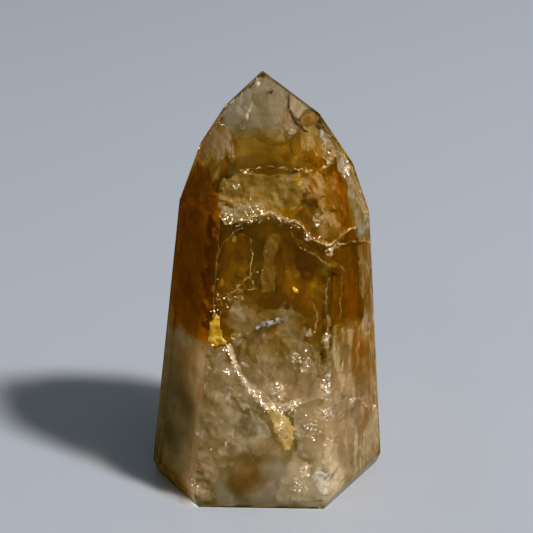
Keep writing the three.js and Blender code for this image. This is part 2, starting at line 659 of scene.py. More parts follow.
def ribbon(line, half_width, depth, seed, lean=1.0, fray=0.5, side=0, cell=0.25):
    """A narrow ragged film along a line on the skin, such as the lip of a crack."""
    long = sum((Vector(b) - Vector(a)).length for a, b in zip(line, line[1:]))

    def place(s, t):
        share = 0.5 + 0.5 * s
        middle = on_line(line, share)
        ahead = on_line(line, min(1.0, share + 0.03)) - on_line(line, max(0.0, share - 0.03))
        sideways = Vector((-ahead.y, ahead.x)).normalized()
        spot = Vector((middle.x, middle.y, seed)) * MM
        width = half_width * (0.35 + 1.3 * abs(rough(spot, 0.0024, seed)))
        width *= min(1.0, 5.0 * (1.0 - abs(s)) + 0.08)
        flat = middle + sideways * (t * width + fray * rough(spot, 0.0018, seed + 1))
        jag = Vector((flat.x, flat.y, seed)) * MM
        deep = depth + lean * t * width + 0.5 * rough(jag, 0.0015, seed + 2)
        return sealed(flat.x, flat.y, max(SHALLOWEST, deep), side=side)[0], 1.0

    return sheet(place, (max(8, int(long / cell)), 5))


def flakes(places):
    """One bmesh of thin six-sided flakes, one for each matrix."""
    batches = []
    for start in range(0, len(places), 40):
        batch = bmesh.new()
        for place in places[start:start + 40]:
            bmesh.ops.create_uvsphere(batch, u_segments=6, v_segments=3, radius=0.5, matrix=place)
        batches.append(batch)
    return joined(batches)


# ---------------------------------------------------------------- the lay of the land inside

# The places below are in mm on the skin, as (across, height). Most were picked by eye on a view of the
# stone, and helper scripts carried them onto the facets: the points of SHELF_LINE and BOWL_LINE to a tenth
# of a millimetre, and the others to a half. Those scripts printed the lines of FAINT_LIPS and many rows of
# FROST and ZONES, and scaled many of the zones' tones by factors picked by hand.

# The wavy healed crack over the front and the seam that the bowl fracture follows, as (across, height) in mm.
SHELF_LINE = ((-24.0, 74.5), (-10.7, 75.0), (-9.6, 73.1), (-6.2, 73.8), (-1.3, 74.8), (0.5, 75.1),
              (3.9, 73.4), (7.3, 72.5), (10.0, 69.2), (13.7, 67.9), (16.5, 68.3), (26.0, 67.5))
BOWL_LINE = ((-9.6, 43.4), (-7.8, 38.3), (-5.3, 33.3), (-2.2, 30.0), (-0.4, 26.9), (4.1, 26.7),
             (7.2, 28.3), (14.2, 31.0), (14.6, 35.8))

# Each cloud's centre and reach in mm, its two tones, thin and thick density, wisp scale and cover, and
# its stains as (centre, reach, colour, extra density).
CLOUDS = {
    "foot_cloud": (
        (0, 0, 18), (54, 46, 43), ((0.91, 0.83, 0.68), (0.82, 0.70, 0.48)), (50, 420), 105, (0.42, 0.64),
        (
            ((5, -17, 5), (24, 9, 9), (0.95, 0.89, 0.76), 330),
            ((-5, -15, 9), (9, 6, 7), (0.52, 0.38, 0.20), 80),
            ((17, -9, 28), (9, 12, 24), (0.88, 0.73, 0.50), 110),
            ((23, -3, 34), (5, 8, 24), (0.66, 0.38, 0.08), 140),
            ((-22, -4, 30), (9, 15, 27), (0.56, 0.34, 0.10), 130),
            ((-23, -6, 13), (2.5, 3, 3.5), (0.42, 0.14, 0.05), 400),
            ((-18, -12, 2), (10, 5, 3), (0.85, 0.52, 0.08), 300),
        ),
    ),
    "heart_cloud": (
        (0, 0, 62), (60, 48, 34), ((0.74, 0.47, 0.04), (0.52, 0.28, 0.01)), (25, 230), 80, (0.42, 0.64),
        (
            ((2, -6, 66), (16, 10, 8), (0.50, 0.27, 0.005), 80),
            ((-18, -7, 60), (11, 17, 22), (0.44, 0.20, 0.003), 260),
            ((-3, -5, 76), (13, 14, 4), (0.90, 0.78, 0.45), 160),
            ((13, -6, 74), (7, 10, 11), (0.66, 0.44, 0.06), 90),
            ((24, -3, 56), (7, 14, 12), (0.52, 0.32, 0.04), 130),
            ((24, -1, 72), (6, 10, 9), (0.80, 0.72, 0.48), 60),
        ),
    ),
    "tip_cloud": (
        (0, -1, 93), (33, 30, 22), ((0.82, 0.77, 0.58), (0.70, 0.62, 0.36)), (35, 220), 110, (0.42, 0.64),
        (
            ((1, -5, 85), (13, 11, 6), (0.52, 0.32, 0.01), 170),
            ((-9, -3, 83), (6, 9, 6), (0.44, 0.27, 0.04), 120),
            ((9, -5, 87), (5, 6, 6), (0.74, 0.50, 0.12), 100),
        ),
    ),
}

# Sparkling spots as (middle, half size, depth), seen on the front skin, in mm.
FROST = (
    ((-9, 74.5), (1.2, 1.2), 1.2),
    ((14.5, 83.5), (1.2, 1.2), 1.4),
    ((6.5, 40.5), (1.2, 1.6), 1.4),
    ((9, 38.5), (1.5, 2.8), 1.6),
    ((-2, 30.5), (1.5, 1.8), 1.2),
    ((13.5, 25.5), (2.8, 2.2), 1.4),
    ((14.5, 18), (1.5, 1.5), 1.4),
    ((9, 11.5), (1.5, 2.2), 1.3),
    ((-16.5, 20), (1.2, 1.0), 1.2),
    ((20.5, 24.5), (1.0, 1.8), 1.2),
    ((-7, 81.5), (1.0, 0.6), 1.2),
    ((-4.5, 85), (1.0, 0.8), 1.2),
    ((11, 74), (1.0, 1.8), 1.2),
    ((9, 70), (1.0, 1.2), 1.0),
    ((15, 66.5), (2.0, 1.5), 1.0),
    ((2, 32.5), (2.0, 2.0), 1.8),
    ((-10, 36.5), (1.5, 1.0), 1.2),
    ((5.5, 28), (1.0, 1.5), 1.2),
    ((9.5, 46.5), (1.0, 1.0), 1.2),
    ((13.5, 45.5), (0.8, 1.0), 1.2),
    ((18.5, 79.5), (1.0, 1.2), 1.2),
    ((-11, 90.5), (1.5, 0.8), 1.2),
    ((2.5, 33), (1.5, 1.5), 1.6),
    ((26.5, 17.5), (0.5, 1.0), 1.0),
    ((10.5, 22), (2.2, 3.0), 1.4),
    ((7.5, 7), (2.5, 2.0), 1.4),
    ((13.5, 33), (1.5, 3.0), 1.4),
    ((-4, 76.5), (3.0, 1.5), 1.4),
    ((3.5, 22), (1.2, 3.0), 1.2),
    ((-17.5, 6), (1.5, 1.5), 1.2),
)
# The pattern of each kind of zone: scale, patch scale, stretch, crackle, relief, gloss and shine.
KINDS = {
    "soft": (360.0, 170.0, (1.0, 1.0, 0.6), None, 0.3, 0.4, 0.08),
    "misty": (260.0, 150.0, (1.0, 1.0, 0.6), None, 0.15, 0.5, 0.08),
    "upright": (230.0, 140.0, (1.7, 1.7, 0.5), None, 0.2, 0.45, 0.12),
    "level": (230.0, 140.0, (0.7, 0.7, 1.9), None, 0.2, 0.45, 0.12),
    "frosty": (760.0, 380.0, (1.0, 1.0, 0.8), 0.5, 0.45, 0.28, 0.28),
}
# Zones as (outline on the skin, depth and soft rim in mm, two tones, how evenly it covers).
ZONES = {
    "soft": (
        # foot base
        (((-23, -2), (16, -2), (16, 50), (0, 47), (-18, 50)),
         5.5, 6, (0.5, 0.42, 0.26), (0.34, 0.26, 0.15), 0.8),
        # foot base right
        (((15, -1), (31, -1), (29, 44), (15, 46)),
         4, 5, (0.375, 0.253, 0.11), (0.225, 0.138, 0.05), 0.7),
        # heart base
        (((-18, 38), (0, 36), (15, 38), (14.5, 73), (4, 76), (-14, 77), (-16, 60)),
         4.5, 5, (0.254, 0.154, 0.028), (0.164, 0.092, 0.01), 0.7),
        # heart base right
        (((14, 44), (28, 42), (26, 68), (14, 69)),
         4, 5, (0.162, 0.092, 0.008), (0.111, 0.055, 0.003), 0.7),
        # shelf base
        (((-11.5, 74), (4, 72), (14, 69), (13, 84), (0, 87), (-9, 85)),
         4, 1.5, (0.24, 0.15, 0.03), (0.17, 0.1, 0.01), 0.7),
        # shoulder shade
        (((-20.5, 75), (-19, 80.5), (-13, 83), (-10.5, 80), (-11.5, 74)),
         1.0, 2, (0.3, 0.14, 0.01), (0.4, 0.22, 0.03), 0.6),
        # edge shade
        (((-14, 76), (-10.5, 73), (-9.5, 66), (-10.5, 58), (-11.5, 52), (-13, 46), (-16, 46), (-15.5, 60)),
         1.0, 1.6, (0.12, 0.051, 0.003), (0.176, 0.083, 0.005), 0.6),
        # tip front
        (((0, 107), (-4, 103), (-8, 98.5), (-9.5, 92.5), (-1, 93), (4, 93), (6, 96.5), (6.5, 99.5), (3, 104)),
         1.6, 2.4, (0.158, 0.128, 0.078), (0.189, 0.155, 0.103), 0.95),
        # tip fade
        (((-19, 79), (-15, 84.5), (-8, 88.5), (-9, 85), (-11.5, 80), (-19, 76.5)),
         1.6, 3, (0.832, 0.658, 0.234), (1, 0.968, 0.515), 0.7),
        # tan block
        (((-5.5, 93), (-1, 94), (3, 93.5), (5.5, 91), (4, 90.5), (-1, 92)),
         1.7, 1, (0.16, 0.1, 0.025), (0.21, 0.15, 0.06), 0.5),
        # right window
        (((12, 90.5), (20, 80), (25, 71.5), (25.5, 62.5), (20.5, 64.5), (19, 72), (17.5, 77.5),
          (16, 81.5), (12.5, 87.5)),
         1.4, 1.4, (0.18, 0.157, 0.09), (0.271, 0.264, 0.219), 0.5),
        # yellow band
        (((5.5, 85), (8, 84.5), (7.5, 81), (8.5, 76), (5.5, 73.5), (2, 76), (4.5, 78.5)),
         1.6, 1.2, (0.26, 0.14, 0.003), (0.36, 0.21, 0.015), 0.7),
        # left dark
        (((-18, 77.5), (-11.5, 80), (-9.5, 75.5), (-11, 59.5), (-12.5, 44), (-15, 42), (-19.5, 41),
          (-24.5, 47), (-21.5, 71.5), (-20, 73.5)),
         1.2, 2.0, (0.59, 0.262, 0.004), (0.762, 0.363, 0.01), 0.8),
        # heart left
        (((-10.5, 71), (-5, 71.5), (-3.5, 64.5), (-4, 57), (-8, 56.5), (-11.5, 58), (-12, 63.5),
          (-11.5, 68)),
         2.4, 2.6, (0.31, 0.165, 0.01), (0.168, 0.078, 0.004), 0.5),
        # heart right
        (((2.5, 69), (5, 71), (7.5, 67), (12.5, 64), (11.5, 59.5), (10, 55), (8.5, 47), (4, 47),
          (3, 54.5)),
         2.6, 2.4, (0.187, 0.085, 0.002), (0.275, 0.147, 0.012), 0.45),
        # slope
        (((4.5, 71.5), (7.5, 70), (11.5, 67), (15.5, 64), (18.5, 59.5), (13.5, 63.5), (9.5, 65.5),
          (6, 68)),
         1.5, 1.2, (0.27, 0.15, 0.025), (0.18, 0.09, 0.01), 0.55),
        # wedge dark
        (((5.5, 68), (12.5, 63.5), (10, 58.5), (7, 59.5), (5.5, 64)),
         1.9, 1.4, (0.08, 0.02, 0.001), (0.11, 0.035, 0.002), 0.6),
        # heart milk
        (((-10.5, 57), (-5, 55.5), (-1.5, 54.5), (3.5, 54.5), (9, 52), (9, 43), (-1.5, 42), (-9, 43),
          (-10.5, 48.5)),
         2, 5, (0.282, 0.212, 0.115), (0.341, 0.273, 0.18), 0.7),
        # under lip
        (((-14, 43), (-9.5, 43.5), (-7.5, 36), (-2, 29.5), (-1.5, 26), (-6.5, 27), (-10, 33),
          (-14.5, 35.5)),
         1.6, 1.2, (0.242, 0.163, 0.054), (0.395, 0.326, 0.216), 0.5),
        # milk upper
        (((-14.5, 36), (-10, 34), (-6.5, 28), (-1.5, 26.5), (3, 19), (4, 13.5), (-1.5, 14.5),
          (-8, 14.5), (-15, 11), (-16, 21)),
         2.4, 3.0, (0.234, 0.19, 0.121), (0.45, 0.399, 0.308), 0.6),
        # smoke
        (((-9, 12), (-4.5, 15), (-1.5, 12.5), (2, 14), (1, 9), (3, 6), (-1, 5.5), (-4, 2.5),
          (-7, 6), (-11, 4), (-9, 8.5)),
         3, 4, (1, 0.691, 0.49), (0.683, 0.422, 0.258), 0.5),
        # left low
        (((-19.5, 44.5), (-12.5, 46), (-13, 34.5), (-14, 19), (-15.5, 0), (-27.5, -1), (-31, 5.5),
          (-28.5, 22.5), (-26.5, 51)),
         3, 2, (1, 0.66, 0.3), (1, 0.8, 0.5), 0.75),
        # golden wedge
        (((-0.5, 27), (2, 27.5), (7, 22.5), (5, 14.5), (2.5, 19.5), (0.5, 24.5)),
         1.6, 0.7, (0.84, 0.68, 0.324), (0.546, 0.42, 0.162), 0.8),
        # milk corner
        (((-16, 11), (-8.5, 14), (-10, 8.5), (-12.5, 3), (-16, 0), (-19, -0.5), (-20, 5.5)),
         1.6, 5, (0.408, 0.342, 0.213), (0.532, 0.465, 0.33), 0.7),
        # edge milk
        (((-19.5, -1), (-12.5, -1), (-11, 19), (-10, 34), (-9.5, 42), (-16, 46), (-17, 34), (-18.5, 19)),
         1.2, 3, (0.28, 0.206, 0.112), (0.336, 0.266, 0.168), 0.75),
        # bevel gold
        (((-28.5, 2.5), (-23.5, 5), (-18, 0), (-23, 0), (-27.5, -0.5)),
         0.9, 0.8, (0.85, 0.42, 0.02), (0.95, 0.55, 0.06), 0.6),
    ),
    "upright": (
        # orange streaks
        (((7, 84), (11.5, 82.5), (15.5, 80), (17, 75.5), (18.5, 67.5), (15.5, 67), (12, 69.5),
          (8.5, 72.5), (7, 78.5)),
         1.7, 0.9, (0.15, 0.07, 0.012), (0.3, 0.22, 0.12), 0.6),
        # orange edge
        (((14.5, 82), (16.5, 80.5), (18, 75.5), (19.5, 69.5), (20.5, 65), (18.5, 65.5), (17, 73),
          (15, 78.5)),
         1.3, 0.6, (0.15, 0.045, 0.002), (0.2, 0.08, 0.004), 0.6),
        # heart band
        (((0, 71), (3.5, 71.5), (2.5, 66), (2, 56), (-2, 55.5), (-1.5, 64.5)),
         1.8, 1.4, (0.36, 0.25, 0.11), (0.22, 0.14, 0.05), 0.5),
        # rust column
        (((18, 61), (20.5, 58.5), (22, 49.5), (20, 44.5), (18, 47), (17, 55)),
         1.6, 1.6, (0.191, 0.075, 0.001), (0.146, 0.047, 0), 0.4),
        # olive column
        (((13.5, 63.5), (17, 60.5), (17.5, 47), (14.5, 47), (13.5, 55)),
         1.8, 1.6, (0.097, 0.044, 0.001), (0.138, 0.079, 0.002), 0.4),
        # grey column
        (((20.5, 64), (25.5, 62), (27, 46.5), (28, 39), (22.5, 40), (22, 49.5), (21, 57.5)),
         1.5, 1.2, (0.16, 0.11, 0.058), (0.26, 0.204, 0.13), 0.5),
        # bowl inside
        (((-9, 44.5), (-1.5, 46), (7.5, 46), (12, 43.5), (13, 37), (10.5, 31), (7, 29), (4.5, 27),
          (0.5, 28.5), (-3.5, 32.5), (-6.5, 36.5)),
         2.6, 1.4, (0.209, 0.143, 0.071), (0.319, 0.242, 0.144), 0.65),
        # bowl left
        (((-9, 44.5), (-6, 44), (-4, 39.5), (-1.5, 33.5), (-2, 31), (-5.5, 35.5), (-8, 39.5)),
         1.5, 0.8, (0.18, 0.121, 0.051), (0.096, 0.053, 0.016), 0.15),
        # right tan
        (((15, 49), (21, 43.5), (28, 41), (30.5, 7), (31, -2), (21, 0), (17, 17), (14, 29.5),
          (13.5, 38.5)),
         1.7, 2.4, (0.168, 0.106, 0.041), (0.323, 0.273, 0.164), 0.65),
    ),
    "level": (
        # crown block
        (((-7, 90), (-5.5, 92.5), (-1, 91.5), (4, 90.5), (6.5, 88), (12.5, 84), (15.5, 82),
          (12.5, 82.5), (7.5, 85), (-1, 86), (-8, 85.5), (-8.5, 87)),
         1.8, 0.7, (0.098, 0.043, 0.002), (0.196, 0.115, 0.017), 0.6),
        # orange band
        (((6.5, 94), (12.5, 93), (13.5, 91.5), (8, 91)),
         1.2, 0.9, (0.138, 0.07, 0.018), (0.175, 0.106, 0.036), 0.8),
        # pale band
        (((-1, 94), (3.5, 94), (3.5, 93), (-1, 93)),
         1.4, 0.6, (0.3, 0.24, 0.12), (0.2, 0.14, 0.05), 0.4),
    ),
    "frosty": (
        # cream layer
        (((-11, 83), (-8, 85), (-1, 85), (8, 85), (9, 80), (7, 76), (2, 74.5), (-1.5, 74.5),
          (-5, 72.5), (-10.5, 73.5), (-12, 76.5)),
         1.6, 1.6, (0.255, 0.161, 0.049), (0.347, 0.25, 0.108), 0.9),
        # cream corner
        (((-11.5, 78.5), (-8, 78), (-2.5, 78.5), (1, 76), (-2, 73.5), (-6, 72), (-9.5, 73),
          (-11, 75.5)),
         1.2, 0.9, (0.425, 0.357, 0.221), (0.255, 0.187, 0.085), 0.6),
        # golden right
        (((7, 91.5), (11.5, 91.5), (15.5, 86), (18.5, 80.5), (13, 83.5), (7.5, 88)),
         1.5, 1.2, (0.18, 0.11, 0.026), (0.26, 0.19, 0.08), 0.45),
        # pink patch
        (((4.5, 96), (6.5, 94.5), (7.5, 92), (6.5, 91), (4.5, 91.5), (2.5, 93.5), (3, 95)),
         1.2, 1.0, (0.126, 0.078, 0.035), (0.184, 0.128, 0.065), 0.85),
        # pale corner
        (((4.5, 101), (9, 98), (15, 92.5), (6.5, 93.2), (4.5, 96)),
         1.2, 0.9, (0.235, 0.185, 0.115), (0.205, 0.15, 0.085), 0.9),
        # golden chip
        (((-12, 51.5), (-10.8, 49.5), (-10.2, 46.5), (-9, 43.5), (-12, 42.5), (-14, 44), (-15, 46.5),
          (-13.5, 49.5)),
         0.7, 0.4, (0.571, 0.37, 0.05), (0.677, 0.527, 0.141), 0.9),
        # foot pale
        (((5.5, 26), (10.5, 29.5), (15, 30), (17.5, 16.5), (20.5, 1), (13.5, 0), (-1.5, 0.5),
          (3.5, 10), (6, 19)),
         2, 3, (0.436, 0.359, 0.22), (0.563, 0.485, 0.34), 0.7),
        # white chip
        (((12, 12.5), (16, 9.5), (15.5, 3), (10.5, 6), (9.5, 9)),
         1.2, 2.4, (0.664, 0.647, 0.581), (0.514, 0.472, 0.367), 0.75),
    ),
    "misty": (
        # tip left
        (((-2, 104), (-8, 98), (-15, 88), (-18, 82), (-15, 81), (-11.5, 82.5), (-8.2, 87),
          (-5.4, 93.5), (-3, 99)),
         0.9, 4.2, (0.9, 0.83, 0.66), (0.98, 0.92, 0.78), 0.9),
    ),
}
# Zones that every other side has in its own place: kind, outline, depth, soft rim, two tones and cover.
SIDE_ZONES = (
    ("soft", ((-32, -2), (32, -2), (32, 46), (14, 37), (-2, 50), (-16, 40), (-32, 50)),
     3, 3, (0.85, 0.76, 0.56), (0.60, 0.48, 0.28), 0.5),
    ("upright", ((-32, 50), (-18, 36), (-6, 46), (6, 34), (18, 45), (32, 38), (32, 70), (16, 78), (0, 70),
                 (-14, 80), (-32, 72)),
     3, 2.5, (0.70, 0.42, 0.08), (0.42, 0.20, 0.02), 0.5),
    ("soft", ((-30, 76), (-14, 84), (-2, 74), (12, 84), (30, 78), (20, 92), (0, 93), (-20, 92)),
     2.4, 2.5, (0.45, 0.37, 0.22), (0.32, 0.22, 0.09), 0.5),
    ("frosty", ((-32, 72), (-12, 75), (4, 72), (32, 75), (32, 82), (12, 86), (-6, 83), (-32, 84)),
     1.8, 2, (0.57, 0.46, 0.26), (0.38, 0.24, 0.08), 0.4),
    ("upright", ((-12, 8), (-7, 6), (-5, 30), (-8, 52), (-11, 44)),
     1.5, 2, (0.36, 0.15, 0.02), (0.50, 0.30, 0.10), 0.35),
    ("frosty", ((2, 2), (14, 3), (13, 20), (8, 30), (1, 22)),
     1.6, 2, (0.86, 0.79, 0.62), (0.60, 0.50, 0.32), 0.35),
)
# Crack lines of the other sides as (across, height) in mm.
SIDE_LINES = (
    ((-20.0, 75.0), (-9.0, 76.5), (-2.0, 73.5), (6.0, 75.0), (20.0, 74.0)),
    ((-11.0, 47.0), (-7.0, 38.0), (-1.0, 33.0), (7.0, 30.5), (13.0, 33.0)),
    ((-4.0, 70.0), (-5.5, 63.0), (-3.0, 57.0), (-4.5, 52.0)),
    ((5.0, 92.0), (2.0, 88.0), (-4.0, 86.5)),
    ((3.0, 26.0), (7.0, 19.0), (6.0, 11.0)),
)
# Crack lips as (line, half width, depth): first the bright ones, then the faint ones.
LIPS = (
    (SHELF_LINE[1:5], 0.34, 0.9),
    (SHELF_LINE[4:-1], 0.2, 0.9),
    (BOWL_LINE[:5], 0.2, 0.9),
    (BOWL_LINE[4:6], 0.14, 1.0),
    (((-11, 55.5), (-10.5, 54), (-10.5, 52), (-11, 50)), 0.3, 0.9),
    (((2.5, 94), (3, 93), (4.5, 91.5), (6.5, 91.5)), 0.28, 0.9),
    (((-5.5, 44.5), (-5, 41), (-4, 39.5)), 0.3, 1),
    (((15.5, 67.5), (15, 66), (14, 65)), 0.45, 1.2),
)
FAINT_LIPS = (
    (((-6, 72), (-8.5, 70), (-11, 67), (-11.5, 63.5), (-11.5, 60.5)), 0.16, 1.3),
    (((-4, 70), (-3.5, 65.5), (-4, 61.5), (-3, 57)), 0.16, 1.5),
    (((-2.5, 61.5), (-5, 59.5), (-7, 57.5), (-6, 56), (-5.5, 54)), 0.22, 1.3),
    (((-7, 57), (-10, 55), (-12, 56.5)), 0.18, 1.3),
    (((-7, 57.5), (-4, 57), (-2.5, 57.5)), 0.16, 1.5),
    (((-1.5, 62), (0.5, 62)), 0.14, 1.5),
    (((4.5, 71.5), (7.5, 67.5), (11.5, 65), (14, 63.5), (18.5, 59.5)), 0.2, 1.3),
    (((4.5, 62), (6, 58.5)), 0.12, 1.6),
    (((13.5, 63), (13.5, 55), (14, 43.5)), 0.12, 1.6),
    (((17, 60.5), (17, 48)), 0.12, 1.6),
    (((-2.5, 41.5), (-1.5, 36.5), (1, 32.5), (4, 30)), 0.2, 2),
    (((14.5, 43.5), (14.5, 36), (12.5, 31.5), (7.5, 29.5)), 0.2, 1.8),
    (((-14, 38), (-12, 36), (-9, 36)), 0.2, 1.2),
    (((-14.5, 35), (-10.5, 34), (-6.5, 29), (-2.5, 26.5)), 0.18, 1.6),
    (((19, 32.5), (22, 27.5), (23, 22.5), (25, 18.5)), 0.2, 1.4),
    (((15.5, 67), (18, 66), (20.5, 65), (24.5, 62)), 0.22, 1.1),
    (((-8, 85), (-5, 85.5), (-1, 86), (5, 86), (11.5, 82.5), (15.5, 82)), 0.2, 1.4),
    (((-9, 45), (-5, 46), (-2.5, 47.5)), 0.25, 1.2),
    (((10, 55), (11.5, 50), (10.5, 46)), 0.16, 1.8),
    (((-9, 25.5), (-1.5, 26), (0.5, 25)), 0.2, 2),
    (((-12, 22), (-6.5, 19), (-1.5, 11)), 0.18, 2.4),
    (((7.5, 29), (6.5, 22), (6, 15)), 0.18, 2),
)


# The attributes that hold a film's two tones.
TONE_LABELS = ("tone_a", "tone_b")
# How much light the misty films and those of the other sides let through, and how much and how solidly
# every zone's film covers.
FILM_GLOW = 0.6
FILM_COVER = 0.52
FILM_SOLID = 0.75
# How much softer the rims on the other sides are, how ragged, and the size of a film's cell there, in mm.
SIDE_SOFTER = 2.5
SIDE_RAGGED = 3.0
SIDE_CELL = 0.75
# The first seed of the zones and of the other sides' zones, and the step from one film to the next.
ZONE_SEED = 400
SIDE_ZONE_SEED = 600
SEED_STEP = 3
OTHER_SIDES = tuple(SIDES)[1:]


class QuartzLooks(bpy.types.PropertyGroup):
    """Finish of the quartz and strength of the studio light."""

    edge_round: FloatProperty(
        name="Edge Round", description="Width of the worn facet edges", default=0.00035, min=0.0001,
        max=0.001, precision=5, unit="LENGTH", subtype="DISTANCE",
    )
    polish: FloatProperty(
        name="Polish", description="Roughness of the best polished spots", default=0.02, min=0.0, max=0.5,
        subtype="FACTOR",
    )
    tint: FloatVectorProperty(
        name="Quartz Tint", description="Colour that clear quartz lets through", default=(0.94, 0.79, 0.40),
        min=0.0, max=1.0, size=3, subtype="COLOR",
    )
    tint_density: FloatProperty(
        name="Tint Density", description="How fast the tint builds up with depth, per metre", default=20.0,
        min=0.0, max=500.0,
    )
    flakes: IntProperty(
        name="Flakes", description="Number of loose glints inside", default=2600, min=0, max=8000,
    )
    key_power: FloatProperty(
        name="Key Light", description="Power of the key light", default=97.0, min=0.0, max=1000.0,
        subtype="POWER", unit="POWER",
    )
    sky: FloatProperty(
        name="Sky", description="Strength of the even light all round", default=0.23, min=0.0, max=5.0,
    )
    floor: FloatVectorProperty(
        name="Floor", description="Colour of the floor", default=(0.385, 0.41, 0.44), min=0.0, max=1.0,
        size=3, subtype="COLOR",
    )


class QUARTZ_OT_stage(bpy.types.Operator):
    """Sets up the camera, the floor and the studio light"""

    bl_idname = "quartz.stage"
    bl_label = "Stage"

    def camera(self, scene):
        """The eye, which looks down on the tower a little."""
        lens = bpy.data.cameras.new("camera")
        lens.angle = EYE_ANGLE
        lens.clip_start = 0.01
        camera = bpy.data.objects.new("camera", lens)
        bpy.context.collection.objects.link(camera)
        camera.location = EYE
        camera.rotation_euler = (math.pi / 2 - EYE_ELEVATION, 0.0, 0.0)
        scene.camera = camera

    def floor(self, looks):
        """A plain wide floor."""
        body = bmesh.new()
        bmesh.ops.create_circle(body, cap_ends=True, segments=96, radius=4.0)
        material, tree, shader, _ = new_material("floor")
        fill(tree, shader, Base_Color=(*looks.floor, 1.0), Roughness=0.45)
        as_object("floor", body, material)

    def card(self, name, across, rise):
        """A warm dark card beside the tower, feathered up from its lower rim, that only reflections see: its
        brown is a painted reflection in the tower's side faces, in place of the floor.
        """
        material, tree, shader, _ = new_material(name)
        height = add(tree, "ShaderNodeSeparateXYZ", Vector=object_place(tree)).outputs["Z"]
        fill(tree, shader, Base_Color=(0.44, 0.17, 0.02, 1.0), Roughness=0.9,
             Alpha=mapped_range(tree, height, 0.0, rise))
        board = bmesh.new()
        stand = Matrix.Translation(Vector((across, 55.0, 50.0)) * MM) @ Matrix.Rotation(math.pi / 2, 4, "Y")
        bmesh.ops.create_grid(board, x_segments=1, y_segments=1, size=0.5,
                              matrix=stand @ Matrix.Diagonal(CARD_SIZE))
        card = as_object(name, board, material)
        for rays in ("camera", "diffuse", "transmission", "volume_scatter", "shadow"):
            setattr(card, "visible_" + rays, False)

    def light(self, scene, looks):
        """The key lamp and the even sky."""
        lamp = bpy.data.lights.new("key", "AREA")
        lamp.shape = "DISK"
        lamp.size = KEY_WIDTH
        lamp.energy = looks.key_power
        lamp.color = (1.0, 0.965, 0.91)
        key = bpy.data.objects.new("key", lamp)
        bpy.context.collection.objects.link(key)
        key.location = KEY_WAY * KEY_DISTANCE
        key.rotation_euler = KEY_WAY.to_track_quat("Z", "Y").to_euler()
        sky = bpy.data.worlds.new("sky")
        sky.use_nodes = True
        tree = sky.node_tree
        fill(tree, tree.nodes["Background"], Color=(0.86, 0.93, 1.0, 1.0), Strength=looks.sky)
        scene.world = sky

    def picture(self, scene):
        """The tones of the picture, with deep blues held down, and how far light is followed."""
        view = scene.view_settings
        view.view_transform = "Standard"
        view.look = "High Contrast"
        view.use_curve_mapping = True
        for shade, blue in ((0.03, 0.017), (0.10, 0.10)):
            view.curve_mapping.curves[2].points.new(shade, blue)
        view.curve_mapping.update()
        for key, value in (
            ("max_bounces", 32), ("transmission_bounces", 16), ("transparent_max_bounces", 64),
            ("volume_bounces", 3), ("diffuse_bounces", 4), ("volume_step_rate", 0.8),
            ("volume_max_steps", 256),
        ):
            setattr(scene.cycles, key, value)

    def execute(self, context):
        scene = context.scene
        self.camera(scene)
        self.floor(scene.quartz_looks)
        for card in CARDS:
            self.card(*card)
        self.light(scene, scene.quartz_looks)
        self.picture(scene)
        return {"FINISHED"}


class QUARTZ_OT_tower(bpy.types.Operator):
    """Makes the polished six-sided tower with its worn facet edges"""

    bl_idname = "quartz.tower"
    bl_label = "Tower"

    def execute(self, context):
        looks = context.scene.quartz_looks
        body = merged_copy(CAD_NODE)
        if not body.faces:
            raise RuntimeError("the tower's CAD node holds no faces")
        bmesh.ops.bevel(body, geom=body.edges[:], offset=looks.edge_round, offset_type="OFFSET", segments=2,
                        profile=0.5, affect="EDGES", material=-1, clamp_overlap=True)
        tower = put("tower", body, polished_quartz(looks), smooth=False)
        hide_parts(CAD_NODE)
        return {"FINISHED"}


class QUARTZ_OT_clouds(bpy.types.Operator):
    """Makes the milky clouds and iron stains sealed in the quartz"""

    bl_idname = "quartz.clouds"
    bl_label = "Clouds and Stains"

    def execute(self, context):
        for seed, (name, cloud) in enumerate(CLOUDS.items()):
            centre, reach = cloud[:2]
            lump(name, centre, reach, cloud_material(name, *cloud), seed)
        return {"FINISHED"}


